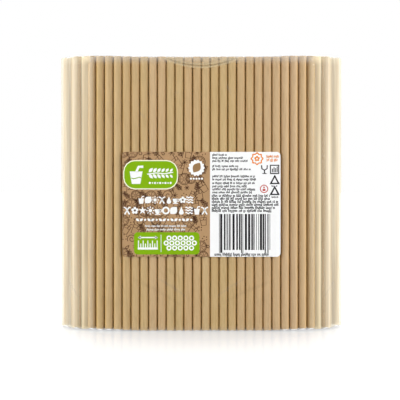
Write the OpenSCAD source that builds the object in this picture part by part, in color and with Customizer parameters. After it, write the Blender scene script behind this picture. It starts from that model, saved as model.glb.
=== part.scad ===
// A pack of 250 brown paper drinking straws in tight clear film, with a paper label on the front.
// X is the width, Y the depth with the front at -Y, and Z is up. The pack stands on z = 0.

/* [Straws] */
// Outer diameter of one straw
straw_d = 6.1; // [5:0.1:8]
// Thickness of the rolled paper wall
straw_wall = 0.4; // [0.25:0.05:0.8]
// Length of the longest straw
straw_len = 200; // [140:5:250]
// How much shorter than the longest the shortest straw is cut
cut_scatter = 0.5; // [0.1:0.1:1]
// How far one straw has slipped up past another in the bundle
slip = 0.3; // [0:0.1:0.8]

/* [Bundle] */
// Step from straw to straw in the front row, in hundredths of a straw diameter
row_pitch_share = 105.6; // [105.2:0.4:112]
// Least air left between two straws that touch on the real pack
straw_gap = 0.05; // [0.03:0.01:0.1]
// How much higher the straws of the shoulders stand than those of the flat middle
shoulder_lift = 0.9; // [0:0.1:1.5]

/* [Film] */
// Thickness of the clear film, drawn thicker than it is
film_t = 0.1; // [0.06:0.02:0.3]
// Air between the film and the outer straws
film_gap = 0.15; // [0.1:0.05:0.4]
// How far the film stands off the straws at each side
side_slack = 1.6; // [0.6:0.2:3]
// Air over the longest straw and under all of them
end_gap = 0.1; // [0.05:0.05:0.4]
// Width of the lap seam down the back
seam_w = 12; // [6:1:24]
// Width of the strip where the two end folds overlap
lap_w = 10; // [5:1:16]
// Depth of the rounded tongue that hangs over the front edge at the top
tongue_drop = 9; // [4:0.2:12]
// Radius of the tongue's lower edge
tongue_r = 59; // [40:1:80]
// Distance between the edges of the tongue's two plies
ply_step = 2.2; // [1:0.2:3.5]

/* [Label] */
// Width of the label
label_w = 115.5; // [80:0.5:140]
// Height of the label
label_h = 76.5; // [50:0.5:110]
// Height of the label's middle over the floor
label_z = 92.6; // [70:0.2:110]
// Radius of the label's corners
label_r = 2.8; // [1:0.2:8]
// Thickness of the label
label_t = 0.12; // [0.08:0.02:0.3]
// Glue line between the label and the film
glue_t = 0.02; // [0.01:0.01:0.05]

/* [Hidden] */
// Straws in the front row and, behind it, in each of the seven inner rows; with the outer
// straws of each row the counts go even and odd by turns, so that the rows stagger
front_count = 26;
inner_rows = [front_count - 3, front_count, front_count + 3, front_count + 4,
              front_count + 1, front_count, front_count - 3];
straw_r = straw_d / 2;
pitch = straw_d * row_pitch_share / 100;
// Staggered rows nest closer than the pitch, at just over its share for a triangular grid
row_step = 0.882 * pitch;
front_y = -(len(inner_rows) + 1) / 2 * row_step;
// The front face is flat in the middle and falls back on a shoulder arc toward the sides
flat_half = 8 * pitch;
shoulder_r = 15 * pitch;
// Rounds of settling, and the share of an overlap that one round takes away
settle_rounds = 220;
settle_rate = 1.4;
// Straws farther apart than this at the start never meet
meet_reach = 2.4 * pitch;

straw_colour = [0.80, 0.64, 0.44];
film_colour = [0.85, 0.90, 0.92, 0.25];
label_colour = [0.95, 0.94, 0.92];

// How far the front face has fallen back from its flat middle at the distance x
function fall_back(x) = let (out = max(0, abs(x) - flat_half))
    shoulder_r - sqrt(pow(shoulder_r, 2) - pow(out, 2));

function flip_x(v) = [for (p = v) [-p[0], p[1]]];
function flip_y(v) = [for (p = v) [p[0], -p[1]]];
function both_sides(v) = concat(v, flip_x(v));

// The front row, then the straws that turn the corner at each side: one tucked behind the row,
// one on the face, one set back at the side and, on the middle line, the outermost of all
front_row = [for (i = [0:front_count - 1])
    let (x = (i - (front_count - 1) / 2) * pitch) [x, front_y + fall_back(x)]];
tucked = [13.42 * pitch, front_y + 1.9 * pitch];
facing = [14.29 * pitch, front_y + fall_back(14.29 * pitch)];
side = [14.6 * pitch, front_y + 2.46 * pitch];
outermost = [15.6 * pitch, 0];
front_half = concat(front_row, both_sides([tucked, facing, side]));
ring = concat(front_half, flip_y(front_half), both_sides([outermost]));

// The inner straws start on staggered rows
inner_start = [for (j = [0:len(inner_rows) - 1]) for (k = [0:inner_rows[j] - 1])
    [(k - (inner_rows[j] - 1) / 2) * pitch, front_y + (j + 1) * row_step]];
inner_count = len(inner_start);

// Then they settle: in each round, straws that press on one another are pushed apart, those
// that press on the outer ring are pushed off it, and the film holds in those that would come
// out between two straws of the ring
all_start = concat(inner_start, ring);
neighbours = [for (i = [0:inner_count - 1]) [for (j = [0:len(all_start) - 1])
    if (j != i && norm(all_start[j] - all_start[i]) < meet_reach) j]];
least_step = straw_d + straw_gap;

function push(p, q, share) = let (away = p - q, dist = norm(away))
    dist < least_step ? away * (least_step / dist - 1) * share : [0, 0];
function sum(v) = [for (p = v) 1] * v;
corner_stops = [front_row[front_count - 1], facing, side, outermost];
function hold_back(q) = sum([for (i = [0:len(corner_stops) - 2])
    let (run = corner_stops[i + 1] - corner_stops[i], outward = [run[1], -run[0]] / norm(run))
    -max(0, (q - corner_stops[i]) * outward) * outward]);
function hold(p) = let (back = hold_back([abs(p[0]), -abs(p[1])]))
    [back[0] * (p[0] < 0 ? -1 : 1), back[1] * (p[1] > 0 ? -1 : 1)];
function one_round(v) = [for (i = [0:inner_count - 1]) v[i] + hold(v[i])
    + sum([for (j = neighbours[i])
        j < inner_count ? push(v[i], v[j], settle_rate / 2)
                        : push(v[i], ring[j - inner_count], settle_rate)])];
function settle(v, rounds) = rounds == 0 ? v : settle(one_round(v), rounds - 1);
inner = settle(inner_start, settle_rounds);

function sum_to(v, n) = n == 0 ? 0 : v[n - 1] + sum_to(v, n - 1);
function inner_row(j) = let (first = sum_to(inner_rows, j))
    [for (k = [first:first + inner_rows[j] - 1]) inner[k]];

// Film: straight runs from each outer straw to the next, drawn from the front's left corner
// round to the right and back; it spans the tucked straws and those at the side
slack_outermost = outermost + [side_slack, 0];
function backwards(v) = [for (i = [len(v) - 1:-1:0]) v[i]];
right_end = concat([facing], [slack_outermost], flip_y([facing]));
film_stops = concat(front_row, right_end, backwards(flip_y(front_row)), flip_x(backwards(right_end)));
stop_count = len(film_stops);

function heading(i) = let (a = film_stops[(i + stop_count) % stop_count],
    b = film_stops[(i + 1) % stop_count]) atan2(b[1] - a[1], b[0] - a[0]);
function turn_at(i) = (heading(i) - heading(i - 1) + 540) % 360 - 180;
function film_corner(i, out) = let (turn = turn_at(i), dir = heading(i - 1) + turn / 2 - 90)
    film_stops[i] + (straw_r + out) / cos(turn / 2) * [cos(dir), sin(dir)];
// Stops with less turn than this, in degrees, lie on a straight run
least_turn = 0.2;
module film_outline(out) {
    polygon([for (i = [0:stop_count - 1]) if (abs(turn_at(i)) > least_turn) film_corner(i, out)]);
}

// Levels: the bottom fold lies on the floor, then the film's floor, then the straws
film_out = film_gap + film_t;
face_y = -front_y + straw_r + film_out;
film_floor = film_t;
straw_z = film_floor + film_t + end_gap;
cavity_h = straw_len + shoulder_lift + slip + 2 * end_gap;
film_top = film_floor + film_t + cavity_h + film_t;

// Straws are cut and stand a little unevenly: a fixed share of the scatter for each place in the
// pack, and toward the shoulders the rounded lower end of the film carries them higher
function uneven(p, turn) = let (s = sin(p[0] * 37 + p[1] * 91 + turn) * 43) s - floor(s);
lift_start = 0.75 * flat_half;
lift_end = 1.5 * flat_half;
function lift(p) = let (share = (abs(p[0]) - lift_start) / (lift_end - lift_start))
    shoulder_lift * pow(sin(90 * min(1, max(0, share))), 2);

module straw(p) {
    length = straw_len - cut_scatter * uneven(p, 0);
    translate([p[0], p[1], straw_z + lift(p) + slip * uneven(p, 50)])
        difference() {
            cylinder(r = straw_r, h = length, $fn = 48);
            translate([0, 0, -1])
                cylinder(r = straw_r - straw_wall, h = length + 2, $fn = 48);
        }
}

module straws(places) {
    color(straw_colour)
        for (p = places)
            straw(p);
}

module straw_row_1() { straws(front_row); }
module straw_row_2() { straws(concat(inner_row(0), both_sides([facing]))); }
module straw_row_3() { straws(concat(inner_row(1), both_sides([tucked]))); }
module straw_row_4() { straws(concat(inner_row(2), both_sides([side]))); }
module straw_row_5() { straws(concat(inner_row(3), both_sides([outermost]))); }
module straw_row_6() { straws(concat(inner_row(4), flip_y(both_sides([side])))); }
module straw_row_7() { straws(concat(inner_row(5), flip_y(both_sides([tucked])))); }
module straw_row_8() { straws(concat(inner_row(6), flip_y(both_sides([facing])))); }
module straw_row_9() { straws(flip_y(front_row)); }

// End fold: the front and back of the film's tube, laid over the tucked-in sides, so that the
// fold has a point at each end on the middle line
fold_half = flat_half + 4 * pitch;
fold_tip = 15.2 * pitch;
module end_fold(layers) {
    linear_extrude(height = layers * film_t)
        intersection() {
            film_outline(film_out);
            polygon([[-fold_half, -face_y], [fold_half, -face_y], [fold_tip, 0],
                     [fold_half, face_y], [-fold_half, face_y], [-fold_tip, 0]]);
        }
}

// Tongue: the rounded end of the back's flap, brought over the top and down the front, two plies
module tongue() {
    for (ply = [0, 1])
        translate([0, -face_y - (ply + 1) * film_t, film_top + tongue_r - tongue_drop + ply * ply_step])
            rotate([-90, 0, 0])
                cylinder(r = tongue_r, h = (ply + 2) * film_t, $fn = 96);
}

module film_wrap() {
    color(film_colour)
        union() {
            difference() {
                translate([0, 0, film_floor])
                    linear_extrude(height = film_top - film_floor)
                        film_outline(film_out);
                translate([0, 0, film_floor + film_t])
                    linear_extrude(height = cavity_h)
                        film_outline(film_gap);
            }
            end_fold(2);
            translate([0, 0, film_top - film_t])
                end_fold(2);
            // The strip where the two folds overlap
            translate([-flat_half, -lap_w / 2, film_top])
                cube([2 * flat_half, lap_w, 2 * film_t]);
            // The lap seam down the back
            translate([-seam_w / 2, face_y - film_t, film_floor])
                cube([seam_w, 2 * film_t, film_top - film_floor]);
            intersection() {
                tongue();
                translate([-tongue_r, -face_y - 2 * film_t, film_floor])
                    cube([2 * tongue_r, 3 * film_t, film_top - film_floor]);
            }
        }
}

// Label outline, flat in X and Z, drawn as a plate through the front of the film
module label_plate(depth) {
    for (size = [[label_w - 2 * label_r, label_h], [label_w, label_h - 2 * label_r]])
        translate([-size[0] / 2, 0, -size[1] / 2])
            cube([size[0], depth, size[1]]);
    for (x = [-1, 1], z = [-1, 1])
        translate([x * (label_w / 2 - label_r), 0, z * (label_h / 2 - label_r)])
            rotate([-90, 0, 0])
                cylinder(r = label_r, h = depth, $fn = 48);
}

// The label lies on the film and follows it where the face starts to fall back
module label() {
    color(label_colour)
        intersection() {
            translate([0, -face_y - label_t - glue_t - 1, label_z])
                label_plate(4);
            translate([0, 0, label_z - label_h])
                linear_extrude(height = 2 * label_h)
                    difference() {
                        film_outline(film_out + glue_t + label_t);
                        film_outline(film_out + glue_t);
                    }
        }
}

straw_row_1();
straw_row_2();
straw_row_3();
straw_row_4();
straw_row_5();
straw_row_6();
straw_row_7();
straw_row_8();
straw_row_9();
film_wrap();
label();
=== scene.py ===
# %% [markdown]
# # A film-wrapped pack of paper straws
# The CAD frame holds 250 straws in nine rows, one film wrap and one label. The straws and the
# label keep their CAD shapes and get materials here. The film is modelled again as a thin skin
# that lies on the straws, because a clear sheet shows only through its folds, its edges and the
# way it follows what is under it. Then come the label's print, the floor, the lamps and the camera.

# %% Load the frame
import bpy
import bmesh
import math
import random
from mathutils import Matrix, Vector, noise


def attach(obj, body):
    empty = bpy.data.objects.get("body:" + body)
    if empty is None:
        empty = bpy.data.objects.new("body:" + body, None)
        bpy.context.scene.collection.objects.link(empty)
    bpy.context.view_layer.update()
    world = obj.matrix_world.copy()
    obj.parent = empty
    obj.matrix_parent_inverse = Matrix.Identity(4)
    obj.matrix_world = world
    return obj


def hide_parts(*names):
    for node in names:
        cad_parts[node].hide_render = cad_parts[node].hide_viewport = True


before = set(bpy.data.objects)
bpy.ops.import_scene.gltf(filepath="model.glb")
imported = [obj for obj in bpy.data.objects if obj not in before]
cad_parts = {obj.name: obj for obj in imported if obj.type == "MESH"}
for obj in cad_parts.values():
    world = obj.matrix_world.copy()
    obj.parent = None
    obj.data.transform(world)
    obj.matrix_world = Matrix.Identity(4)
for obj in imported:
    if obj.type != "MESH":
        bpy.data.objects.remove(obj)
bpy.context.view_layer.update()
MM = 0.001

# %% [markdown]
# The film and the print need the places of the outer straws. The CAD source lays them out by a
# rule, so the same rule is written here in millimetres: a flat middle, a shoulder arc that falls
# back to each side, one straw that faces the corner and the outermost one. Each straw's own height
# follows the source too: the shoulders stand a little higher, and cuts and slips vary.

# %% Places of the outer straws
STRAW_R = 3.05
STRAW_LEN = 200
STRAW_Z = 0.3
CUT_SCATTER = 0.5
SLIP = 0.3
SLIP_TURN = 50
PITCH = 6.4416
ROW_STEP = 0.882 * PITCH
ROWS_TO_FRONT = 4
FRONT_COUNT = 26
FRONT_Y = -ROWS_TO_FRONT * ROW_STEP
FLAT_HALF = 8 * PITCH
SHOULDER_R = 15 * PITCH
FACING_X = 14.29 * PITCH
OUTER_X = 15.6 * PITCH
FILM_ROOM = 0.25
FACE_Y = -FRONT_Y + STRAW_R + FILM_ROOM
SHOULDER_LIFT = 0.9
LIFT_START = 0.75 * FLAT_HALF
LIFT_END = 1.5 * FLAT_HALF
LABEL_Z = 92.6


def fall_back(x):
    """How far the front face has fallen back from its flat middle at x."""
    out = max(0.0, abs(x) - FLAT_HALF)
    return SHOULDER_R - math.sqrt(SHOULDER_R ** 2 - out ** 2)


def uneven(x, y, turn):
    """A fixed share from 0 to 1 for each place in the pack."""
    return math.sin(math.radians(x * 37 + y * 91 + turn)) * 43 % 1


def lift(x):
    """How much higher the straws stand at x than in the flat middle."""
    share = (abs(x) - LIFT_START) / (LIFT_END - LIFT_START)
    return SHOULDER_LIFT * math.sin(math.pi / 2 * min(1, max(0, share))) ** 2


def straw_ends(x, y):
    """Heights of a straw's lower and upper end."""
    low = STRAW_Z + lift(x) + SLIP * uneven(x, y, SLIP_TURN)
    return low, low + STRAW_LEN - CUT_SCATTER * uneven(x, y, 0)


def to_the_back(points):
    """The same places on the back of the pack, in the order of a walk round it."""
    return [(px, -py) for px, py in reversed(points)]


front_xs = [(i - (FRONT_COUNT - 1) / 2) * PITCH for i in range(FRONT_COUNT)]
front_row = [(x, FRONT_Y + fall_back(x)) for x in front_xs]
facing = (FACING_X, FRONT_Y + fall_back(FACING_X))
outermost = (OUTER_X, 0.0)
print("front row", len(front_row), "from", front_row[0], "outermost", outermost)


# %% [markdown]
# Small helpers come next. Colours are written as the eye sees them, 0 to 255, and turned into the
# linear values that the shaders take. A node helper keeps the materials short, and a mesh helper
# makes an object, gives it smooth faces and links it.

# %% Helpers
def lin(r, g, b):
    """An sRGB colour, 0 to 255, as linear RGBA."""
    def one(c):
        c = c / 255
        return c / 12.92 if c <= 0.04045 else ((c + 0.055) / 1.055) ** 2.4
    return (one(r), one(g), one(b), 1.0)


class Nodes:
    """Adds nodes to a material in one line each and links what is given as a socket."""

    def __init__(self, name):
        self.mat = bpy.data.materials.new(name)
        self.mat.use_nodes = True
        self.tree = self.mat.node_tree
        self.tree.nodes.clear()
        self.out = self.tree.nodes.new("ShaderNodeOutputMaterial")

    def add(self, kind, _out=0, _set=None, **inputs):
        node = self.tree.nodes.new("ShaderNode" + kind)
        for key, value in (_set or {}).items():
            setattr(node, key, value)
        for key, value in inputs.items():
            socket = node.inputs[int(key[1:])] if key[0] == "i" and key[1:].isdigit() else \
                node.inputs[key.replace("_", " ")]
            if isinstance(value, bpy.types.NodeSocket):
                self.tree.links.new(value, socket)
            else:
                socket.default_value = value
        return node.outputs[_out]

    def math(self, op, a, b=0.0):
        return self.add("Math", _set={"operation": op}, i0=a, i1=b)

    def ramp(self, value, low, high, to_low=0.0, to_high=1.0):
        """A smooth change of share while the value goes from low to high."""
        return self.add("MapRange", _set={"interpolation_type": "SMOOTHSTEP"}, Value=value, From_Min=low,
                        From_Max=high, To_Min=to_low, To_Max=to_high)

    def along(self, value, stops):
        """A share that runs smoothly through stops of place and share."""
        total = stops[0][1]
        for (low, before), (high, after) in zip(stops, stops[1:]):
            total = self.math("ADD", total, self.ramp(value, low, high, 0.0, after - before))
        return total

    def mix(self, share, a, b):
        node = self.tree.nodes.new("ShaderNodeMix")
        node.data_type = "RGBA"
        for socket, value in ((node.inputs[0], share), (node.inputs[6], a), (node.inputs[7], b)):
            if isinstance(value, bpy.types.NodeSocket):
                self.tree.links.new(value, socket)
            else:
                socket.default_value = value
        return node.outputs[2]

    def noise(self, vector, per_metre, detail=2.0, rough=0.5):
        """Noise with so many waves to the metre along each axis."""
        place = self.add("VectorMath", _set={"operation": "MULTIPLY"}, i0=vector, i1=per_metre)
        return self.add("TexNoise", Vector=place, Scale=1.0, Detail=detail, Roughness=rough)

    def xyz(self, vector):
        node = self.tree.nodes.new("ShaderNodeSeparateXYZ")
        self.tree.links.new(vector, node.inputs[0])
        return node.outputs

    def finish(self, shader):
        self.tree.links.new(shader, self.out.inputs[0])
        return self.mat


def make(name, verts, faces, mat, smooth=True):
    """A mesh object from points in millimetres."""
    mesh = bpy.data.meshes.new(name)
    mesh.from_pydata([Vector(v) * MM for v in verts], [], faces)
    mesh.update()
    obj = bpy.data.objects.new(name, mesh)
    bpy.context.scene.collection.objects.link(obj)
    mesh.materials.append(mat)
    for poly in mesh.polygons:
        poly.use_smooth = smooth
    return obj


# %% [markdown]
# The straws are brown paper wound in a spiral. Each straw in the photograph has its own tone, from
# yellowish to pinkish, so the tone goes by the random number that each separate solid gets. The
# angle round a straw is read from the direction its wall faces, which with the height gives the
# spiral seam. Fine fibres run along the paper, and the seam and fibres also go into the bump. The
# flanks, where light goes from straw to straw, are painted deeper in colour as they turn from the
# view: this is painted shade between the straws.

# %% Straw paper
SPIRAL_RISE = 0.0215
SEAM_WIDTH = 0.03
YELLOWISH = lin(197, 172, 125)
PINKISH = lin(202, 172, 138)
GOLDEN = lin(190, 157, 103)
CLOUDED = lin(172, 138, 88)
PALE_FIBRE = lin(214, 183, 136)
DARK_FIBRE = lin(170, 138, 90)
SEAM_TONE = lin(138, 106, 64)
# Painted shade: how much the straws' flanks are darkened and deepened in colour.
FLANK_SHADE_SHARE = (1.0, 0.88, 0.5, 1)


def straw_paper():
    n = Nodes("straw_paper")
    coord = n.add("TexCoord", _out=3)
    geo = n.tree.nodes.new("ShaderNodeNewGeometry")
    own = geo.outputs["Random Per Island"]
    up = n.xyz(coord)[2]
    normal = n.xyz(geo.outputs["True Normal"])
    angle = n.math("DIVIDE", n.math("ARCTAN2", normal[1], normal[0]), 2 * math.pi)
    turns = n.math("ADD", n.math("MULTIPLY", up, 1 / SPIRAL_RISE), n.math("ADD", angle, own))
    seam = n.math("ABSOLUTE", n.math("SUBTRACT", n.math("FRACT", turns), 0.5))
    seam_line = n.ramp(seam, 0.0, SEAM_WIDTH, 1.0, 0.0)
    shift = n.add("CombineXYZ", X=n.math("MULTIPLY", own, 3.1), Y=n.math("MULTIPLY", own, 7.7), Z=0.0)
    place = n.add("VectorMath", _set={"operation": "ADD"}, i0=coord, i1=shift)
    fibre = n.noise(place, (900, 900, 60), 3.0, 0.6)
    cloud = n.noise(place, (60, 60, 22))
    tone = n.mix(own, YELLOWISH, PINKISH)
    other = n.math("FRACT", n.math("MULTIPLY", own, 17.3))
    tone = n.mix(n.math("MULTIPLY", other, 0.45), tone, GOLDEN)
    tone = n.mix(n.math("MULTIPLY", cloud, 0.22), tone, CLOUDED)
    tone = n.mix(n.ramp(fibre, 0.3, 0.7, 0.0, 0.42), tone, PALE_FIBRE)
    tone = n.mix(n.ramp(fibre, 0.25, 0.5, 0.3, 0.0), tone, DARK_FIBRE)
    tone = n.mix(n.math("MULTIPLY", seam_line, 0.10), tone, SEAM_TONE)
    # Painted shade between straws: flanks that turn from the view get a deeper colour.
    flank = n.add("LayerWeight", _out=1, Blend=0.5)
    flank_shade = n.add("MixRGB", _set={"blend_type": "MULTIPLY"}, Fac=1.0, Color1=tone, Color2=FLANK_SHADE_SHARE)
    tone = n.mix(n.ramp(flank, 0.32, 0.75), tone, flank_shade)
    height = n.math("SUBTRACT", n.math("MULTIPLY", fibre, 0.35), n.math("MULTIPLY", seam_line, 0.6))
    bump = n.add("Bump", Strength=0.25, Distance=0.0001, Height=height)
    rough = n.ramp(fibre, 0.3, 0.7, 0.62, 0.78)
    return n.finish(n.add("BsdfPrincipled", Base_Color=tone, Roughness=rough, Normal=bump,
                          Specular_IOR_Level=0.05))


def dress(node, mat):
    """Gives a CAD node's mesh its material."""
    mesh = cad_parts[node].data
    mesh.materials.clear()
    mesh.materials.append(mat)


ROWS = 2 * ROWS_TO_FRONT + 1
paper = straw_paper()
for row in range(ROWS):
    dress("straw_row_%d" % (row + 1), paper)
print("straw material on", ROWS, "rows")

# %% [markdown]
# Clear film hardly shows on the front, but it whitens what lies behind it where it is loose, where
# it turns over the straw ends and where it is doubled. The material is a sheet that lets light
# pass, mirrors a little, more where it is seen flat, and has a pale veil whose share goes by place:
# the table by width below gives it at distances from the middle, in metres. Over the side straws
# the veil is partly haze and partly painted light, strongest and warmest over the straws tucked in
# behind the front corners, which it paints as lit. The pale bands along the top and bottom rims
# are partly haze of the gathered film and partly a painted highlight where it turns over the ends.
# A sheet has two faces, so the mirror share is worked out alike from both.

# %% Film
FILM_INDEX = 1.45
FILM_ROUGH = 0.16
FILM_TINT = (250, 248, 240)
SIDE_TINT = (255, 247, 220)
# Painted light: the warm tint that paints the tucked straws as lit.
PAINTED_TUCKED_LIGHT = (255, 236, 194)
# Painted shade in the creases and above the tongue's edge, in a straw brown.
CREASE_SHADE_TINT = (122, 94, 58)
# Veil share by distance from the middle: haze of the loose film, and painted light over the side and tucked
# straws.
HAZE_AND_LIGHT_BY_WIDTH = ((0.0785, 0.0), (0.082, 0.24), (0.0845, 0.38), (0.0876, 0.64), (0.0887, 0.24),
                 (0.0908, 0.28), (0.0925, 0.42), (0.0945, 0.5), (0.0962, 0.36), (0.098, 0.38),
                 (0.104, 0.46))
TOP_Z = 200.6
TOP_VEIL = 0.25
TOP_VEIL_DEPTH = 6.5
LOW_VEIL = 0.12
LOW_VEIL_HEIGHT = 4.0


def film(name, veil, mirror_share=0.45, by_place=False, tint=FILM_TINT, soft=False):
    """Film with a veil of one share or by place, faded by the mesh's soft values if asked."""
    n = Nodes(name)
    coord = n.add("TexCoord", _out=3)
    x, _, z = n.xyz(coord)
    fine = n.noise(coord, (30, 30, 9), 3.0, 0.55)
    share = veil
    if soft:
        fade = n.add("Attribute", _out=2, _set={"attribute_name": "soft"})
        share = n.math("MULTIPLY", fade, veil)
        mirror_share = n.math("MULTIPLY", fade, mirror_share)
    if by_place:
        wide = n.math("ABSOLUTE", x)
        streak = n.noise(coord, (260, 260, 14))
        # Partly haze, partly painted light: the veil over the side straws, warm over the tucked straws to
        # paint them as lit.
        side_haze_and_light = n.along(wide, HAZE_AND_LIGHT_BY_WIDTH)
        tint = n.mix(n.ramp(wide, 0.079, 0.084), lin(*tint), lin(*PAINTED_TUCKED_LIGHT))
        tint = n.mix(n.ramp(wide, 0.0885, 0.094), tint, lin(*SIDE_TINT))
        mirror_share = n.ramp(wide, 0.078, 0.09, 0.16, 0.45)
        side_haze_and_light = n.math("MULTIPLY", side_haze_and_light, n.ramp(streak, 0.25, 0.75, 0.82, 1.18))
        inner = n.ramp(wide, 0.083, 0.095, 1.0, 0.3)
        # Partly haze, partly a painted highlight: a pale band where the film turns over the top ends.
        high = n.ramp(z, (TOP_Z - TOP_VEIL_DEPTH) * MM, (TOP_Z - 0.3) * MM, 0.0, TOP_VEIL)
        high = n.math("MULTIPLY", high, inner)
        low = n.ramp(z, 0.6 * MM, LOW_VEIL_HEIGHT * MM, LOW_VEIL, 0.0)
        share = n.math("ADD", n.math("ADD", side_haze_and_light, veil), n.math("ADD", high, low))
    else:
        tint = lin(*tint)
    bump = n.add("Bump", Strength=0.3, Distance=0.0006, Height=fine)
    rough = n.ramp(fine, 0.3, 0.7, FILM_ROUGH * 0.8, FILM_ROUGH * 1.3)
    gloss = n.add("BsdfGlossy", Roughness=rough, Normal=bump)
    clear = n.add("BsdfTransparent", Color=(1, 1, 1, 1))
    behind = n.tree.nodes.new("ShaderNodeNewGeometry").outputs["Backfacing"]
    index = n.math("ADD", FILM_INDEX, n.math("MULTIPLY", behind, 1 / FILM_INDEX - FILM_INDEX))
    mirror = n.math("MULTIPLY", n.add("Fresnel", IOR=index, Normal=bump), mirror_share)
    sheet = n.add("MixShader", i0=mirror, i1=clear, i2=gloss)
    matt = n.ramp(fine, 0.3, 0.7, 0.35, 0.5)
    white = n.add("BsdfPrincipled", Base_Color=tint, Roughness=matt, Normal=bump)
    return n.finish(n.add("MixShader", i0=share, i1=sheet, i2=white))


FILM = film("clear_film", 0.0, by_place=True)
DOUBLED = film("doubled_film", 0.03, mirror_share=0.25)
EDGE = film("film_edge", 0.34, soft=True)
SOFT_EDGE = film("film_soft_edge", 0.13, 0.3, soft=True)
TONGUE = film("tongue_film", 0.03, 0.0, tint=(255, 240, 205))
TONGUE_EDGE = film("tongue_edge", 0.34, 0.0, tint=(255, 234, 190), soft=True)
GLINT = film("film_glint", 0.95, tint=(253, 253, 252), soft=True)
SHADE = film("film_shade", 0.11, 0.0, tint=(112, 84, 50), soft=True)
# Painted highlight along pale creases, and painted shade along dark creases and above the tongue's edge.
PALE = film("film_crease", 0.08, 0.0, soft=True)
DARK = film("film_crease_shade", 0.06, 0.0, tint=CREASE_SHADE_TINT, soft=True)
films = (FILM, DOUBLED, EDGE, SOFT_EDGE, TONGUE, TONGUE_EDGE, GLINT, SHADE, PALE, DARK)
print("film materials", [mat.name for mat in films])

# %% [markdown]
# The skin is a loft. Its plan goes from straw to straw: it turns a little on each one and sags
# into the space before the next. Up and down it runs between the ends of the straws it lies on,
# so its rims go in small scallops, drawn in between the straws. Rings that shrink to the middle
# line close the top and the bottom, and lie on the straw ends there.

# %% Film skin
FILM_R = STRAW_R + 0.2
SLACK = 1.6
CAP = 0.12
RIM = 0.35
HANG = 0.7
NOTCH = 0.45
SAG = 0.3
END_FLAT_X = 94.0
SPAN_SHARES = (0.15, 0.3, 0.4, 0.5, 0.6, 0.7, 0.85)
END_RINGS = (0.03, 0.08, 0.2, 0.4, 0.65, 0.85, 1.0)
corner = (outermost[0] + SLACK, 0.0)
left_facing = (-facing[0], facing[1])
stops = front_row + [facing, corner] + to_the_back([facing]) + to_the_back(front_row)
stops += to_the_back([left_facing]) + [(-corner[0], 0.0), left_facing]


def stop_ends(stop):
    """Where the film's rims lie on the straw at a stop."""
    x = min(outermost[0], max(-outermost[0], stop[0]))
    low, high = straw_ends(x, stop[1])
    return low - CAP - HANG * lift(x), high + CAP


def turn_steps(turn):
    """How many points the film needs to turn on a straw."""
    if turn < 0.03:
        return 1
    return 3 if turn < 0.3 else 9


def film_plan():
    """Points round the film: place, outward angle, sag, and the heights of both rims."""
    points = []
    count = len(stops)
    for i in range(count):
        (ax, ay), (bx, by), (cx, cy) = stops[i - 1], stops[i], stops[(i + 1) % count]
        h0 = math.atan2(by - ay, bx - ax)
        h1 = math.atan2(cy - by, cx - bx)
        turn = (h1 - h0 + math.pi) % (2 * math.pi) - math.pi
        low, high = stop_ends(stops[i])
        next_low, next_high = stop_ends(stops[(i + 1) % count])
        steps = turn_steps(turn)
        for k in range(steps):
            a = h0 + turn * (0.5 if steps == 1 else k / (steps - 1)) - math.pi / 2
            points.append((bx + FILM_R * math.cos(a), by + FILM_R * math.sin(a), a, 0.0, low, high))
        a = h1 - math.pi / 2
        run = math.hypot(cx - bx, cy - by)
        for t in SPAN_SHARES:
            between = 1 - (2 * t - 1) ** 2
            sag = SAG * between
            if run > 2 * PITCH:
                sag += 0.05 * math.sin(t * 23)
            px = bx + (cx - bx) * t + FILM_R * math.cos(a)
            py = by + (cy - by) * t + FILM_R * math.sin(a)
            rim = high + (next_high - high) * t - NOTCH * between
            points.append((px, py, a, sag, low + (next_low - low) * t, rim))
    return points


plan = film_plan()
BEND = [math.radians(a) for a in (0, 30, 60, 90)]
near = [d / STRAW_LEN for d in (0.9, 1.8, 3.0, 4.5, 6.5, 9.0)]
walls = near + [0.06 + 0.88 * k / 28 for k in range(29)] + [1 - share for share in reversed(near)]


def level_point(point, level):
    """A point of the skin: level is an angle of the lower or upper bend, or a share of the wall."""
    px, py, a, sag, low, high = point
    part, value = level
    if part == "low":
        z, inset = low + RIM * (1 - math.cos(value)), RIM * (1 - math.sin(value))
    elif part == "high":
        z, inset = high - RIM * (1 - math.cos(value)), RIM * (1 - math.sin(value))
    else:
        z, inset = low + RIM + (high - low - 2 * RIM) * value, 0.0
    to_end = min(z - low, high - z)
    tight = 0.85 + 0.3 * noise.noise(Vector((px * 0.11, py * 0.11, z * 0.03)))
    inset += sag * (tight + 1.6 * math.exp(-to_end / 2.5))
    return px - inset * math.cos(a), py - inset * math.sin(a), z


def film_skin():
    rows = [("low", t) for t in BEND] + [("wall", s) for s in walls] + [("high", t) for t in reversed(BEND)]
    verts = [level_point(point, level) for level in rows for point in plan]
    faces = []
    count = len(plan)
    for row in range(len(rows) - 1):
        for k in range(count):
            a, b = row * count + k, row * count + (k + 1) % count
            faces.append((a, b, b + count, a + count))
    for base, top in ((0, False), ((len(rows) - 1) * count, True)):
        last = base
        for t in END_RINGS:
            ring = len(verts)
            for k in range(count):
                px, py, rim_z = verts[base + k]
                mx = px + (max(-END_FLAT_X, min(END_FLAT_X, px)) - px) * t
                level = end_panel(mx, top)
                settle = min(1, t / END_RINGS[1])
                verts.append((mx, py * (1 - t), rim_z + (level - rim_z) * settle))
            for k in range(count):
                a, b = last + k, last + (k + 1) % count
                c, d = ring + (k + 1) % count, ring + k
                faces.append((a, b, c, d) if top else (b, a, d, c))
            last = ring
    return make("film_skin", verts, faces, FILM)


def end_panel(x, top):
    """Height of the film that lies on the straw ends at x."""
    return TOP_Z + CAP + lift(x) if top else STRAW_Z - CAP + (1 - HANG) * lift(x)


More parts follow.
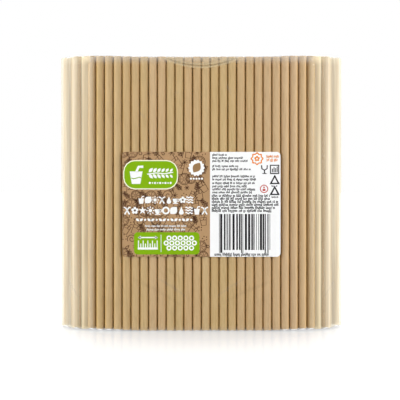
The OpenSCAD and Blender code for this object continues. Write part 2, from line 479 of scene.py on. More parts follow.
skin = film_skin()
bm = bmesh.new()
bm.from_mesh(skin.data)
bmesh.ops.remove_doubles(bm, verts=bm.verts, dist=1e-6)
bm.to_mesh(skin.data)
bm.free()
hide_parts("film_wrap")
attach(skin, "root")
print("film skin", len(skin.data.polygons), "faces")

# %% [markdown]
# Folds, seams and creases lie on the skin. Each is a narrow ribbon or a sheet that follows the
# skin some hundredths of a millimetre outside it. The front's depth at any x is read off the
# skin's own plan, so that they stay on it where it bends back toward the sides.

# %% Ribbons on the film
front_plan = sorted((p[0], p[1]) for p in plan if p[1] < 0)


def front_y(x):
    """Depth of the front film at x, along its outer hull."""
    for (ax, ay), (bx, by) in zip(front_plan, front_plan[1:]):
        if ax <= x <= bx:
            return ay + (by - ay) * (x - ax) / max(1e-9, bx - ax)
    return 0.0


def on_front(x, z, lift_off):
    return x, front_y(x) - lift_off, min(z, TOP_Z - 0.1 + lift(x))


def on_back(x, z, lift_off):
    return x, lift_off - front_y(x), z


def on_top(x, y, lift_off):
    return x, y, end_panel(x, True) + lift_off


def on_bottom(x, y, lift_off):
    return x, y, end_panel(x, False) - lift_off


def film_piece(obj):
    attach(obj, "root")
    return obj


def ribbon(name, paths, width, mat, place=on_front, lift_off=0.04, ridge=0.06, taper=False, pieces=10):
    """Narrow strips along paths that rise to the middle and fade to the sides, in one piece."""
    verts = []
    faces = []
    soft = []
    for path in paths:
        points = []
        for (ax, az), (bx, bz) in zip(path, path[1:]):
            points += [(ax + (bx - ax) * k / pieces, az + (bz - az) * k / pieces) for k in range(pieces)]
        points.append(path[-1])
        count = len(points)
        start = len(verts)
        for i, (u, v) in enumerate(points):
            a, b = points[max(0, i - 1)], points[min(count - 1, i + 1)]
            size = math.hypot(b[0] - a[0], b[1] - a[1]) or 1.0
            nu, nv = -(b[1] - a[1]) / size, (b[0] - a[0]) / size
            near_end = math.sin(math.pi * (i + 0.5) / count) ** 0.6 if taper else 1
            half = width / 2 * near_end
            soft += [0.0, near_end, 0.0]
            verts.append(place(u + nu * half, v + nv * half, lift_off))
            verts.append(place(u, v, lift_off + ridge))
            verts.append(place(u - nu * half, v - nv * half, lift_off))
        for i in range(count - 1):
            a = start + 3 * i
            faces += [(a, a + 1, a + 4, a + 3), (a + 1, a + 2, a + 5, a + 4)]
    obj = make(name, verts, faces, mat)
    obj.data.attributes.new("soft", "FLOAT", "POINT").data.foreach_set("value", soft)
    return film_piece(obj)


def sheet(name, outline, mat, place, lift_off, rows=14, columns=40):
    """A thin sheet: outline gives, for a share across, the two ends of its line there."""
    verts = []
    for i in range(columns + 1):
        (ax, ay), (bx, by) = outline(i / columns)
        for k in range(rows + 1):
            verts.append(place(ax + (bx - ax) * k / rows, ay + (by - ay) * k / rows, lift_off))
    faces = []
    for i in range(columns):
        for k in range(rows):
            a = i * (rows + 1) + k
            b = a + rows + 1
            faces.append((a, b, b + 1, a + 1))
    return film_piece(make(name, verts, faces, mat))


# %% [markdown]
# The tongue is the rounded end of the back's flap, two plies brought over the top and down the
# front. The edge of each ply shows as a light line, partly the ply's own edge and partly a painted
# highlight. Above the lower one lies a darker line, which is painted shade. A ply is a thin sheet
# that goes from the round edge up to the rim.

# %% Tongue
TONGUE_R = 59
TONGUE_EDGE_Z = 192.7
PLY_STEP = 2.2


def tongue_arc(edge_z, off=0.0, steps=24):
    """Points of the tongue's round edge below the rim."""
    centre = edge_z + TONGUE_R
    half = math.sqrt(TONGUE_R ** 2 - (centre - TOP_Z + 0.2) ** 2)
    xs = [half * (2 * k / steps - 1) for k in range(steps + 1)]
    return [(x, centre - math.sqrt(TONGUE_R ** 2 - x * x) + off) for x in xs]


def tongue_outline(edge_z):
    arc = tongue_arc(edge_z, steps=60)
    return lambda t: (arc[round(t * 60)], (arc[round(t * 60)][0], TOP_Z + 0.1))


for ply in range(2):
    edge_z = TONGUE_EDGE_Z + ply * PLY_STEP
    name = "tongue_%d" % (ply + 1)
    sheet(name, tongue_outline(edge_z), TONGUE, on_front, 0.05 + 0.03 * ply, rows=6, columns=60)
    # The edge's light line: partly the ply's edge, partly a painted highlight.
    ribbon(name + "_edge", [tongue_arc(edge_z)], 2.4, TONGUE_EDGE, lift_off=0.07, pieces=2)
    # Painted shade: a dark line just above the lower ply's edge.
    if ply == 0:
        ribbon(name + "_shade", [tongue_arc(edge_z, 1.0)], 1.6, DARK, lift_off=0.07, ridge=0.0, pieces=2)
print("tongue of 2 plies")

# %% [markdown]
# At the top and the bottom, the tube of film is folded like a parcel: the sides go in first and
# the front and back come over them, so that slanting edges run to a point at each end, and the
# two overlap along the middle line. Down the back runs the lap seam, with two seal lines at each
# of its sides.

# %% End folds and back seam
FOLD_HALF = FLAT_HALF + 4 * PITCH
FOLD_TIP = 95.0
LAP = 5.0
FOLD_Y = FACE_Y - 2.4


def fold_outline(side):
    """Front (-1) or back (1) flap, from the rim over the middle line."""
    def line(t):
        x = FOLD_TIP * (2 * t - 1)
        reach = 1.0 if abs(x) < FOLD_HALF else (FOLD_TIP - abs(x)) / (FOLD_TIP - FOLD_HALF)
        outer = side * min(FOLD_Y, -front_y(x) - 1.5) * reach
        return (x, outer), (x, -side * LAP * min(1.0, 2 * reach))
    return line


for end, place in (("top", on_top), ("bottom", on_bottom)):
    for side, name in ((-1, "front"), (1, "back")):
        off = 0.05 if side < 0 else 0.03
        sheet("%s_fold_%s" % (end, name), fold_outline(side), DOUBLED, place, off, rows=8, columns=60)
        slants = [[(s * FOLD_HALF, side * (FACE_Y - 8)), (s * FOLD_TIP, 0)] for s in (-1, 1)]
        laps = [[(-FOLD_HALF, -side * LAP), (FOLD_HALF, -side * LAP)]]
        ribbon("%s_fold_%s_edge" % (end, name), slants + laps, 0.6, EDGE, place, off + 0.01, 0.03)
SEAM_HALF = 6.0


def seam_path(x):
    """The seam's upright line at x, from near the lower rim to near the upper one."""
    return [(x, 1.2), (x, 199.6)]


seam_edges = [seam_path(x) for x in (-SEAM_HALF, SEAM_HALF)]
seam_seals = [seam_path(x) for x in (-3.6, -2.4, 2.4, 3.6)]
sheet("back_seam", lambda t: seam_path(SEAM_HALF * (2 * t - 1)), DOUBLED, on_back, 0.05, rows=20, columns=6)
ribbon("back_seam_edge", seam_edges, 0.5, EDGE, on_back, 0.05, 0.03)
ribbon("back_seam_seal", seam_seals, 0.35, SOFT_EDGE, on_back, 0.05, 0.02)
print("end folds and back seam")

# %% [markdown]
# Creases come last. In the photograph they are pale or dark strokes: two slanting pairs near the
# top, longer ones that run down toward the middle of the bottom, and kinks at the lower corners.
# The pale strokes are painted highlights on the creases, and the dark ones are painted shade in
# them, tinted like the straws behind; the two small marks below the kinks are painted shade too.
# Glints lie where the film turns under each straw and catches the light, wider at the sides.

# %% Creases and glints
pale = [[(-45.5, 160.0), (-40.4, 155.6)], [(41.3, 156.9), (45.0, 159.8)], [(-19.9, 172.9), (-15.6, 175.9)],
        [(18.0, 180.2), (22.4, 172.9)], [(-34.5, 40.2), (-21.0, 32.4), (-9.7, 24.1)],
        [(34.5, 40.2), (21.0, 32.4), (9.7, 24.1)]]
dark = [[(-55.0, 40.9), (-33.0, 30.4), (-12.7, 17.6)], [(55.9, 38.7), (33.0, 29.6), (10.7, 17.6)],
        [(-28.7, 48.2), (-15.6, 39.4)]]
kinks = [[(s * 98.9, 35.3), (s * 95.0, 31.0), (s * 90.7, 23.4)] for s in (-1, 1)]
marks = [[(s * 91.6, 14.6), (s * 89.6, 12.8)] for s in (-1, 1)]
# Painted highlights along the pale creases, painted shade along the dark ones and the corner marks.
ribbon("creases_pale", pale, 3.0, PALE, ridge=0.05, taper=True)
ribbon("creases_dark", dark, 4.2, DARK, ridge=0.04, taper=True)
ribbon("corner_kinks", kinks, 3.0, SOFT_EDGE, ridge=0.06, taper=True)
ribbon("corner_marks", marks, 2.4, SHADE, ridge=0.1, taper=True)


GLINT_START = 60.0
seen_straws = front_row + [facing, left_facing, outermost, (-outermost[0], 0.0)]


def glint_path(place, side, share):
    """A short line under a straw, as wide as a share of it and tilted up to the side."""
    low = stop_ends(place)[0] + 0.3 + 0.25 * lift(place[0])
    tilt = side * 0.2 * lift(place[0])
    reach = STRAW_R * share
    return [(place[0] - reach, low - tilt), (place[0], low), (place[0] + reach, low + tilt)]


for side, name in ((-1, "left"), (1, "right")):
    there = [place for place in seen_straws if side * place[0] > 0]
    outer = [glint_path(place, side, 0.85) for place in there if abs(place[0]) > GLINT_START]
    inner = [glint_path(place, side, 0.6) for place in there if abs(place[0]) <= GLINT_START]
    ribbon("glints_outer_" + name, outer, 1.5, GLINT, lift_off=0.0, ridge=0.03, taper=True, pieces=4)
    ribbon("glints_inner_" + name, inner, 0.6, GLINT, lift_off=0.0, ridge=0.02, taper=True, pieces=4)
print("creases", len(pale) + len(dark) + len(kinks) + len(marks))

# %% [markdown]
# The label is a paper sheet printed in two fields, brown on the left and white on the right. The
# sheet keeps its CAD shape, and its material splits the fields by place, with the faint grain of
# the paper in colour, roughness and bump. The print on it is thin shapes laid a few hundredths of
# a millimetre over the sheet, so that its edges stay sharp however near the view comes.

# %% Label sheet
FIELD_X = 6.3


def label_sheet():
    n = Nodes("label_paper")
    coord = n.add("TexCoord", _out=3)
    across = n.xyz(coord)[0]
    grain = n.noise(coord, (700, 700, 500), 3.0, 0.6)
    cloud = n.noise(coord, (45, 45, 60))
    brown = n.mix(n.ramp(cloud, 0.3, 0.7), lin(179, 144, 103), lin(188, 151, 110))
    brown = n.mix(n.ramp(grain, 0.4, 0.8, 0.0, 0.35), brown, lin(170, 132, 96))
    white = n.mix(n.ramp(grain, 0.3, 0.8, 0.0, 0.3), lin(254, 254, 253), lin(246, 245, 243))
    colour = n.mix(n.math("GREATER_THAN", across, FIELD_X * MM), brown, white)
    bump = n.add("Bump", Strength=0.15, Distance=0.00005, Height=grain)
    rough = n.ramp(grain, 0.3, 0.7, 0.42, 0.52)
    return n.finish(n.add("BsdfPrincipled", Base_Color=colour, Roughness=rough, Normal=bump,
                          Specular_IOR_Level=0.15))


dress("label", label_sheet())
print("label in two fields, split at", FIELD_X, "mm")


# %% [markdown]
# Print shapes are drawn flat, in millimetres from the label's middle, u to the right and v up. They
# are collected by ink colour, cut where the face starts to bend, and then pressed on the label: the
# depth of each point is read off the same rule that the straws follow.

# %% Print tools
def around(u, v, r, a):
    """The point at distance r and angle a from a centre."""
    return u + r * math.cos(a), v + r * math.sin(a)


def circle(u, v, r, sides):
    return [around(u, v, r, 2 * math.pi * k / sides) for k in range(sides)]


class Ink:
    """Flat shapes of one colour on the label."""

    def __init__(self, name, colour, lift):
        self.name = name
        self.colour = colour
        self.lift = lift
        self.verts = []
        self.faces = []

    def shape(self, points):
        start = len(self.verts)
        self.verts += points
        self.faces.append(tuple(range(start, start + len(points))))

    def stroke(self, points, width, closed=False):
        """A line of even width along the points."""
        count = len(points)
        left = []
        right = []
        for i, (u, v) in enumerate(points):
            if closed:
                a, b = points[i - 1], points[(i + 1) % count]
            else:
                a, b = points[max(0, i - 1)], points[min(count - 1, i + 1)]
            du, dv = b[0] - a[0], b[1] - a[1]
            size = math.hypot(du, dv) or 1.0
            nu, nv = -dv / size * width / 2, du / size * width / 2
            left.append((u + nu, v + nv))
            right.append((u - nu, v - nv))
        for i in range(count if closed else count - 1):
            j = (i + 1) % count
            self.shape([right[i], right[j], left[j], left[i]])

    def bar(self, u0, v0, u1, v1, r=None):
        """A bar with rounded ends or corners."""
        r = min(u1 - u0, v1 - v0) / 2 if r is None else r
        left, right, low, high = u0 + r, u1 - r, v0 + r, v1 - r
        points = []
        for cu, cv, start in ((right, low, -90), (right, high, 0), (left, high, 90), (left, low, 180)):
            points += [around(cu, cv, r, math.radians(start + 22.5 * k)) for k in range(5)]
        self.shape(points)

    def disc(self, u, v, r, sides):
        self.shape(circle(u, v, r, sides))

    def ring(self, u, v, r, width, sides=32):
        self.stroke(circle(u, v, r, sides), width, closed=True)

    def box(self, u0, v0, u1, v1):
        self.shape([(u0, v0), (u1, v0), (u1, v1), (u0, v1)])

    def scallop(self, u, v, r, lobes, depth=0.07):
        """A disc with a wavy rim."""
        points = []
        for k in range(lobes * 8):
            a = 2 * math.pi * k / (lobes * 8)
            points.append(around(u, v, r * (1 + depth * math.cos(lobes * a)), a))
        self.shape(points)

    def ticks(self, u0, v, u1, height, rng, wide=0.5):
        """A line of small print: groups of uneven upright ticks, some joined to the next."""
        step = wide * 1.55
        u = u0
        while u + step < u1:
            for _ in range(rng.randint(2, 8)):
                if u + wide > u1:
                    break
                low = v - height * rng.choice((0.5, 0.5, 0.5, 0.8))
                high = v + height * rng.choice((0.4, 0.4, 0.75))
                self.box(u, low, u + wide, high)
                joint = rng.choice((None, low, v, high - wide * 0.8))
                if joint is not None and u + step + wide < u1:
                    self.box(u, joint, u + step, joint + wide * 0.8)
                u += step
            u += step * 0.9


def ink_material(name, colour):
    n = Nodes(name)
    coord = n.add("TexCoord", _out=3)
    grain = n.noise(coord, (800, 800, 800), 2.0, 0.6)
    r, g, b, _ = colour
    worn = (min(1, r * 1.15 + 0.01), min(1, g * 1.15 + 0.01), min(1, b * 1.15 + 0.01), 1)
    bump = n.add("Bump", Strength=0.1, Distance=0.00004, Height=grain)
    tone = n.mix(n.ramp(grain, 0.5, 0.8, 0.0, 0.5), colour, worn)
    rough = n.ramp(grain, 0.3, 0.7, 0.38, 0.46)
    return n.finish(n.add("BsdfPrincipled", Base_Color=tone, Roughness=rough, Normal=bump,
                          Specular_IOR_Level=0.12))


LABEL_DEPTH = 0.14
PRINT_HALF_W = 57.7
PRINT_HALF_H = 38.2


def label_face(x):
    """Depth of the label's outer face at x: straight from straw to straw, as the film is."""
    places = [0.0] + [FLAT_HALF + share * PITCH for share in (-0.5, 0.5, 1.5)]
    x = abs(x)
    for a, b in zip(places, places[1:]):
        if x <= b:
            back = fall_back(a) + (fall_back(b) - fall_back(a)) * (x - a) / (b - a)
            break
    return -FACE_Y - LABEL_DEPTH + back


def print_on_label(ink):
    """Turns an ink's shapes into a piece on the label."""
    bm = bmesh.new()
    verts = [bm.verts.new((u, 0.0, v)) for u, v in ink.verts]
    for face in ink.faces:
        bm.faces.new([verts[k] for k in face])
    cuts = [((s * PRINT_HALF_W, 0, 0), (s, 0, 0), True) for s in (-1, 1)]
    cuts += [((0, 0, s * PRINT_HALF_H), (0, 0, s), True) for s in (1, -1)]
    cuts += [((s * (FLAT_HALF + k * PITCH), 0, 0), (1, 0, 0), False) for s in (-1, 1) for k in (-0.5, 0.5)]
    for place, normal, clear in cuts:
        bmesh.ops.bisect_plane(bm, geom=bm.verts[:] + bm.edges[:] + bm.faces[:], plane_co=place,
                               plane_no=normal, clear_outer=clear)
    bmesh.ops.triangulate(bm, faces=bm.faces[:])
    for v in bm.verts:
        v.co = Vector((v.co.x, label_face(v.co.x) - ink.lift, v.co.z + LABEL_Z)) * MM
    mesh = bpy.data.meshes.new(ink.name)
    bm.to_mesh(mesh)
    bm.free()
    obj = bpy.data.objects.new(ink.name, mesh)
    bpy.context.scene.collection.objects.link(obj)
    mesh.materials.append(ink_material(ink.name, ink.colour))
    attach(obj, "root")


# %% [markdown]
# The brown field is covered with a loose pattern of line drawings. These are plain table and
# garden motifs set out on a jittered grid: sprigs, citrus slices, cups, drops, curls, sparks and
# dots. A fixed seed keeps them the same in each run.

# %% Line drawings
lines = Ink("print_lines", lin(78, 46, 30), 0.02)
LINE = 0.5


def turned(points, u, v, size, angle):
    c, s = math.cos(angle) * size, math.sin(angle) * size
    return [(u + x * c - y * s, v + x * s + y * c) for x, y in points]


def sprig(u, v, size, angle):
    lines.stroke(turned([(0, -1), (0.08, -0.3), (0, 0.4), (-0.05, 1)], u, v, size, angle), LINE)
    for k in range(4):
        y = -0.6 + 0.4 * k
        for s in (-1, 1):
            leaf = []
            for t, swell in [(q / 4, 0.16) for q in range(5)] + [(q / 4, -0.12) for q in (4, 3, 2, 1)]:
                leaf.append((s * 0.55 * t * (1 - 0.12 * k), y + 0.42 * t + swell * math.sin(math.pi * t)))
            lines.stroke(turned(leaf, u, v, size, angle), LINE * 0.8, closed=True)


def citrus(u, v, size, angle):
    lines.ring(u, v, size, LINE)
    lines.ring(u, v, size * 0.8, LINE * 0.6)
    for k in range(7):
        a = angle + 2 * math.pi * k / 7
        lines.stroke([around(u, v, size * 0.12, a), around(u, v, size * 0.78, a)], LINE * 0.7)


def cup(u, v, size, angle):
    side = [(-0.7, 0.8), (-0.5, -0.9), (0.5, -0.9), (0.7, 0.8)]
    drink = [(-0.64, 0.3), (-0.3, 0.2), (0, 0.32), (0.3, 0.2), (0.64, 0.3)]
    straw = [(0.1, 0.3), (0.35, 1.25), (0.75, 1.35)]
    lines.stroke(turned(side, u, v, size, angle), LINE, closed=True)
    lines.stroke(turned(drink, u, v, size, angle), LINE * 0.7)
    lines.stroke(turned(straw, u, v, size, angle), LINE)


def drop_points(half, top, tall):
    """A drop's outline from its tip round its belly."""
    points = []
    for k in range(14):
        swell = math.sin(math.pi * k / 14)
        points.append((half * math.sin(2 * math.pi * k / 14) * swell ** 0.8, top - tall * swell ** 1.2))
    return points


def drop(u, v, size, angle):
    lines.stroke(turned(drop_points(0.55, 0.9, 1.7), u, v, size, angle), LINE, closed=True)


def curl(u, v, size, angle):
    lines.stroke([around(u, v, size * (0.15 + 0.85 * k / 18), angle + 0.55 * k) for k in range(19)], LINE)


def spark(u, v, size, angle):
    for k in range(4):
        a = angle + math.pi * k / 4
        lines.stroke([around(u, v, -size, a), around(u, v, size, a)], LINE * 0.8)


def dots(u, v, size, angle):
    for k in range(5):
        lines.disc(*around(u, v, size * 0.8, angle + 2 * math.pi * k / 5), LINE * 0.9, 10)


GRID_U = 5.9
GRID_V = 6.2
rng = random.Random(41)
motifs = [sprig, citrus, cup, curl, drop, sprig, cup, spark, citrus, dots]
for gv in range(13):
    for gu in range(12):
        draw = motifs[(gu * 3 + gv * 4 + rng.randrange(3)) % len(motifs)]
        u = -57 + gu * GRID_U + (gv % 2) * 2.9 + rng.uniform(-0.8, 0.8)
        v = -37 + gv * GRID_V + rng.uniform(-0.8, 0.8)
        size = rng.uniform(3.3, 4.4) * (0.55 if draw in (spark, dots, drop) else 1.0)
        if u + size * 0.9 < FIELD_X:
            draw(u, v, size, rng.uniform(-0.9, 0.9))
print_on_label(lines)
print("drawings", len(lines.faces), "strokes")

# %% [markdown]
# Two rows of small white signs are the label's title: a glass, a leaf, a sun, crossed straws, a
# drop, a cup, a flower, waves, a ring and a star. Each sign is one short function of place and
# height, so that the title keeps sharp edges and can be set anew at any size.

# %% White signs
def leaf_shape(u, v, size, angle, wide=0.4, steps=8):
    side = [(wide * math.sin(math.pi * k / steps), k / steps - 0.5) for k in range(steps + 1)]
    other = [(-x, y) for x, y in reversed(side[1:-1])]
    return turned(side + other, u, v, size, angle)


def sized(points, u, v, h):
    """Points given as shares of a sign's height, set at its place."""
    return [(u + x * h, v + y * h) for x, y in points]


def glass_sign(ink, u, v, h):
    ink.shape(sized([(-0.24, -0.5), (0.24, -0.5), (0.36, 0.2), (-0.36, 0.2)], u, v, h))
    ink.stroke(sized([(0.02, 0.18), (0.14, 0.46), (0.4, 0.46)], u, v, h), 0.14 * h)


def leaf_sign(ink, u, v, h):
    ink.shape(leaf_shape(u, v, 1.15 * h, -0.75))


def ring_sign(ink, u, v, h):
    ink.ring(u, v, 0.37 * h, 0.22 * h, 20)


def drop_sign(ink, u, v, h):
    ink.shape(sized(drop_points(0.36, 0.5, 1.0), u, v, h))


def straws_sign(ink, u, v, h):
    for s in (-1, 1):
        ink.stroke(sized([(-s * 0.3, -0.48), (s * 0.16, 0.3), (s * 0.42, 0.4)], u, v, h), 0.17 * h)


def flower_sign(ink, u, v, h):
    for k in range(5):
        ink.disc(*around(u, v, 0.28 * h, 2 * math.pi * (k + 0.25) / 5), 0.17 * h, 12)


def waves_sign(ink, u, v, h):
    for row in (-0.3, 0.02, 0.34):
        wave = [((k / 8 - 0.5) * 0.9, row + 0.08 * math.sin(math.pi * k / 2)) for k in range(9)]
        ink.stroke(sized(wave, u, v, h), 0.15 * h)


def sun_sign(ink, u, v, h):
    ink.disc(u, v, 0.22 * h, 16)
    for k in range(8):
        a = math.pi * k / 4
        ink.stroke([around(u, v, 0.32 * h, a), around(u, v, 0.5 * h, a)], 0.12 * h)


def cup_sign(ink, u, v, h):
    turns = [math.pi * (1 + k / 8) for k in range(9)]
    ink.shape(sized([(0.34 * math.cos(a) - 0.08, 0.6 * math.sin(a) + 0.16) for a in turns], u, v, h))
    ink.ring(u + 0.3 * h, v - 0.04 * h, 0.15 * h, 0.1 * h, 14)
    ink.stroke(sized([(-0.4, -0.46), (0.3, -0.46)], u, v, h), 0.1 * h)


def star_sign(ink, u, v, h):
    ink.shape([around(u, v, h * (0.2 if k % 2 else 0.5), math.pi / 2 - math.pi * k / 5) for k in range(10)])


SIGNS = [glass_sign, leaf_sign, sun_sign, straws_sign, drop_sign, cup_sign, flower_sign, waves_sign,
         ring_sign, star_sign]


def sign_row(ink, left, right, v, h, many, first=0, by=1):
    for k in range(many):
        SIGNS[(first + by * k) % len(SIGNS)](ink, left + (right - left) * (k + 0.5) / many, v, h)


# %% [markdown]
# Over the drawings lie the plain shapes: a green rounded plaque with a glass and a laid sprig, a
# scalloped badge with a leaf, the two rows of signs, a row of leaves, two lines of ticks, and a
# green box with a ruler and a cluster of straw ends. Each ink lies a little higher than the one it
# covers.

# %% Plaque, badge, titles and box
GREEN = lin(131, 177, 12)
WHITE = lin(254, 254, 252)
edge = Ink("print_edge", lin(252, 252, 222), 0.03)
green = Ink("print_green", GREEN, 0.04)
white = Ink("print_white", WHITE, 0.05)
brown = Ink("print_brown", lin(156, 122, 82), 0.055)
PLAQUE = (-57.0, 10.9, -17.0, 32.3)
PLAQUE_EDGE = 0.75
u0, v0, u1, v1 = PLAQUE
edge.bar(u0, v0, u1, v1, 8.5)
green.bar(u0 + PLAQUE_EDGE, v0 + PLAQUE_EDGE, u1 - PLAQUE_EDGE, v1 - PLAQUE_EDGE, 7.8)
glass_sign(white, -47.6, 21.4, 13.0)
DRINK_V = 19.2
green_gap = Ink("print_gap", GREEN, 0.055)
green_gap.stroke([(-51.2, DRINK_V), (-49.2, DRINK_V - 0.6), (-47.2, DRINK_V), (-45.2, DRINK_V + 0.6),
                  (-43.6, DRINK_V)], 0.7)
white.stroke([(-39.5, 22.0), (-33.0, 22.9), (-27.0, 22.3), (-20.6, 23.4)], 0.8)
for k in range(6):
    for s in (-1, 1):
        lean = -math.pi / 2 + s * 0.85
        white.shape(leaf_shape(-36.9 + 3.0 * k, 22.7 + s * 2.2, 4.4 - 0.25 * k, lean, 0.26))
for k in range(9):
    white.disc(-37.6 + 1.9 * k, 15.6, 0.55 if k % 2 else 0.8, 12)
white.scallop(-3.6, 26.6, 5.7, 14)
brown.shape(leaf_shape(-3.4, 26.8, 8.6, -0.6, 0.34))
white.stroke([(-5.9, 23.3), (-3.6, 26.4), (-1.5, 29.4)], 0.5)
for k in range(5):
    white.disc(-7.6 + 2.0 * k, 18.7, 0.75, 12)
sign_row(white, -46.4, -6.0, 3.2, 5.6, 8)
sign_row(white, -57.0, 5.2, -4.5, 6.0, 11, first=3, by=3)
for k in range(15):
    u = -46.6 + 2.8 * k
    if k % 3 == 2:
        white.disc(u, -11.3, 0.8, 12)
    else:
        white.shape(leaf_shape(u, -11.3, 3.1, -0.9 if k % 3 else 0.9, 0.3))
title_rng = random.Random(5)
for v, a, b in ((-15.8, -41.0, -11.0), (-18.4, -40.0, -11.5)):
    white.ticks(a, v, b, 1.2, title_rng, 0.42)
BOX = (-49.1, -36.5, -1.4, -20.4)
green.bar(*BOX, 2.6)
white.bar(-29.6, -34.8, -29.2, -22.2, 0.2)
for k in range(9):
    white.box(-46.2 + 1.7 * k, -31.4, -45.5 + 1.7 * k, -26.4 - (0 if k % 2 == 0 else 2.2))
white.bar(-46.4, -33.0, -31.7, -31.4, 0.3)
white.stroke([(-45.6, -24.2), (-32.4, -24.2)], 0.9)
for tip, way in ((-46.4, 1), (-31.6, -1)):
    white.shape([(tip, -24.2), (tip + way * 2.2, -22.9), (tip + way * 2.2, -25.5)])
END_STEP = 4.1
for row, many in enumerate((5, 6, 5)):
    for k in range(many):
        white.ring(-15.4 + (k - (many - 1) / 2) * END_STEP, -24.6 - 3.6 * row, 1.4, 1.0, 18)
for ink in (edge, green, white, brown, green_gap):
    print_on_label(ink)
print("plain shapes", len(white.faces), "white")

# %% [markdown]
# The white field holds small print, a few signs and a bar code. The print is rows of tiny uneven
# ticks, the signs are plain outlines, and the bars have widths that follow a counting rule, so that
# they stand for no number.

# %% Small print, signs and bars
black = Ink("print_black", lin(30, 28, 32), 0.02)
ORANGE = lin(236, 136, 34)
orange = Ink("print_orange", ORANGE, 0.02)
red = Ink("print_red", lin(192, 70, 62), 0.02)
small_rng = random.Random(11)
fine_lines = ((36.0, 19.0), (33.8, 31.0), (31.6, 34.0), (27.8, 27.5), (25.5, 36.5), (20.4, 40.0),
              (18.1, 40.5), (15.4, 39.5), (13.1, 33.0), (10.9, 40.0), (8.7, 37.0))
bold_lines = ((6.2, 50.5), (4.0, 50.0), (1.8, 56.5), (-0.4, 56.8), (-2.6, 54.0), (-4.8, 51.0))
for v, end in fine_lines:
    black.ticks(8.0, v, end, 1.25, small_rng)
for v, end in bold_lines:
    black.ticks(7.6, v, end, 1.5, small_rng, 0.56)
MODULE = 0.392
BARS_START = 12.9
BARS_END = 50.0
LONG_BARS = (0, 1, 9, 10, 19, 20)
u = BARS_START
k = 0
while u < BARS_END:
    bar_wide = MODULE * (1 + (k * 7 + k // 4) % 4)
    black.box(u, -35.4 if k in LONG_BARS else -33.3, u + bar_wide, -7.0)
    u += bar_wide + MODULE * (1 + (k * 5 + k // 3) % 3)
    k += 1
black.ticks(9.6, -36.6, BARS_END, 1.7, small_rng, 0.55)
SEAL = (40.6, 33.3)
orange.scallop(*SEAL, 4.3, 8, 0.1)
white_seal = Ink("print_seal", WHITE, 0.035)
white_seal.scallop(*SEAL, 3.3, 8, 0.1)
orange_seal = Ink("print_seal_marks", ORANGE, 0.045)
flower_sign(orange_seal, *SEAL, 4.6)
for v, a, b in ((34.9, 47.4, 57.0), (32.3, 47.6, 56.8)):
    orange.ticks(a, v, b, 1.5, small_rng, 0.44)
black.stroke([(43.9, 28.6), (44.1, 26.0), (46.0, 24.9), (47.9, 26.0), (48.1, 28.6)], 0.85)
black.box(45.6, 22.6, 46.4, 24.9)
black.box(44.5, 22.2, 47.5, 22.8)
black.stroke([(50.4, 22.5), (56.4, 22.5), (56.4, 28.5), (50.4, 28.5)], 1.1, closed=True)
for k, high in enumerate((2.6, 3.6, 3.0, 4.2)):
    black.box(51.5 + 1.15 * k, 23.4, 52.2 + 1.15 * k, 23.4 + high)
for v in (15.2, 7.2):
    black.stroke([(50.6, v), (56.4, v), (53.5, v + 5.4)], 2.1, closed=True)
    black.ticks(51.2, v - 1.9, 56.0, 0.9, small_rng, 0.4)
red.ring(45.7, 11.3, 2.7, 0.65)
red.disc(45.7, 12.4, 0.65, 12)
red.box(44.7, 9.7, 46.7, 11.3)
for ink in (black, orange, red, white_seal, orange_seal):
    print_on_label(ink)
print("label print done,", len(black.faces), "black shapes")

# %% [markdown]
# The floor is a glossy white plane, with a short soft reflection of the pack and its contact
# shadow. It adds a white that only the camera and mirrored rays see to a diffuse share that takes
# the shadow, so the light on the pack stays level. Ambient occlusion dims that white near the pack,
# painting the contact shadow into it, and the painted shadow is lighter toward the pack's sides.

# %% Floor
FLOOR_GREY = (0.125, 0.14, 0.158, 1)


def floor_material():
    n = Nodes("floor")
    path = n.tree.nodes.new("ShaderNodeLightPath")
    seen = n.math("MAXIMUM", path.outputs["Is Camera Ray"], n.math(
        "MAXIMUM", path.outputs["Is Glossy Ray"], path.outputs["Is Transmission Ray"]))
    base = n.add("BsdfPrincipled", Base_Color=FLOOR_GREY, Roughness=0.3, Specular_IOR_Level=0.25)
    # Painted contact shadow: the camera-seen white is dimmed where ambient occlusion finds the pack near,
    # less so toward its sides.
    open_sky = n.add("AmbientOcclusion", _out=1, _set={"samples": 16}, Distance=0.3)
    across = n.math("ABSOLUTE", n.xyz(n.add("TexCoord", _out=3))[0])
    under = n.ramp(across, 0.045, 0.085, 0.5, 0.66)
    lit = n.math("ADD", n.ramp(open_sky, 0.40, 0.62, under, 0.66), n.ramp(open_sky, 0.6, 0.88, 0.0, 0.33))
    glow = n.add("Emission", Color=(1, 1, 1, 1), Strength=n.math("MULTIPLY", seen, lit))
    mirror = n.add("BsdfGlossy", Roughness=0.02)
    return n.finish(n.add("MixShader", i0=0.1, i1=n.add("AddShader", i0=base, i1=glow), i2=mirror))


SPAN = 3000
floor_corners = [(-SPAN, -SPAN, 0), (SPAN, -SPAN, 0), (SPAN, SPAN, 0), (-SPAN, SPAN, 0)]
floor = make("floor", floor_corners, [(0, 1, 2, 3)], floor_material(), smooth=False)

# %% [markdown]
# A white tent of light: the world is white where the camera, mirrors and clear things look, and
# softer as a source of light. A broad weak lamp stands behind the camera. One at each side gives the
# side straws their pale outer edge, as in the photograph, and one at each front corner reaches the
# straws that are tucked in behind it. A lamp behind the pack lights its back and its top.

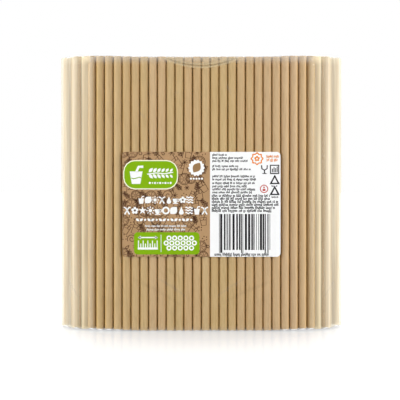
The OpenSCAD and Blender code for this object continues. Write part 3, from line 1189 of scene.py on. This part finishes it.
# %% Light
LIT_STRENGTH = 0.2
SEEN_STRENGTH = 1.0
PACK_MIDDLE = (0, 0, 0.1)
world = bpy.data.worlds.new("studio")
bpy.context.scene.world = world
world.use_nodes = True
wt = world.node_tree
wt.nodes.clear()
w_out = wt.nodes.new("ShaderNodeOutputWorld")
w_path = wt.nodes.new("ShaderNodeLightPath")
w_seen = w_path.outputs["Is Camera Ray"]
for ray in ("Is Glossy Ray", "Is Transmission Ray"):
    either = wt.nodes.new("ShaderNodeMath")
    either.operation = "MAXIMUM"
    wt.links.new(w_seen, either.inputs[0])
    wt.links.new(w_path.outputs[ray], either.inputs[1])
    w_seen = either.outputs[0]
w_mix = wt.nodes.new("ShaderNodeMixShader")
wt.links.new(w_seen, w_mix.inputs[0])
for slot, strength in ((1, LIT_STRENGTH), (2, SEEN_STRENGTH)):
    white_light = wt.nodes.new("ShaderNodeBackground")
    white_light.inputs[0].default_value = (1, 1, 1, 1)
    white_light.inputs[1].default_value = strength
    wt.links.new(white_light.outputs[0], w_mix.inputs[slot])
wt.links.new(w_mix.outputs[0], w_out.inputs[0])


def lamp(name, place, wide, high, power):
    """A rectangular lamp that looks at the middle of the pack."""
    data = bpy.data.lights.new(name, "AREA")
    data.shape = "RECTANGLE"
    data.size = wide
    data.size_y = high
    data.energy = power
    obj = bpy.data.objects.new(name, data)
    obj.location = place
    obj.rotation_euler = (Vector(PACK_MIDDLE) - Vector(place)).to_track_quat("-Z", "Y").to_euler()
    bpy.context.scene.collection.objects.link(obj)


lamp("back_lamp", (0.0, 1.5, 0.8), 1.6, 0.9, 16.0)
lamp("front_lamp", (0.0, -1.6, 0.75), 1.6, 0.9, 1.0)
for side, name in ((-1, "left"), (1, "right")):
    lamp(name + "_lamp", (side * 1.1, -0.3, 0.4), 0.9, 0.9, 14.5)
    lamp(name + "_quarter_lamp", (side * 0.9, -1.2, 0.5), 0.8, 0.9, 4.5)

# %% [markdown]
# The camera looks level at the middle of the pack. The straws at the sides look a twentieth
# shorter than those in front, which puts it some 0.83 m before the face, and the height at which
# the top and bottom edges fall back alike gives its own height.

# %% Camera
CAMERA_AWAY = 0.830
CAMERA_UP = 0.1287
CAMERA_X = -0.001
CAMERA_SHIFT = -0.1129
LENS = 102.4
cam_data = bpy.data.cameras.new("camera")
cam_data.sensor_width = 36
cam_data.lens = LENS
cam_data.shift_y = CAMERA_SHIFT
camera = bpy.data.objects.new("camera", cam_data)
camera.location = (CAMERA_X, -FACE_Y * MM - CAMERA_AWAY, CAMERA_UP)
camera.rotation_euler = (math.pi / 2, 0, 0)
bpy.context.scene.collection.objects.link(camera)
bpy.context.scene.camera = camera

bpy.context.scene.view_settings.view_transform = "Standard"
print("camera at", tuple(camera.location))
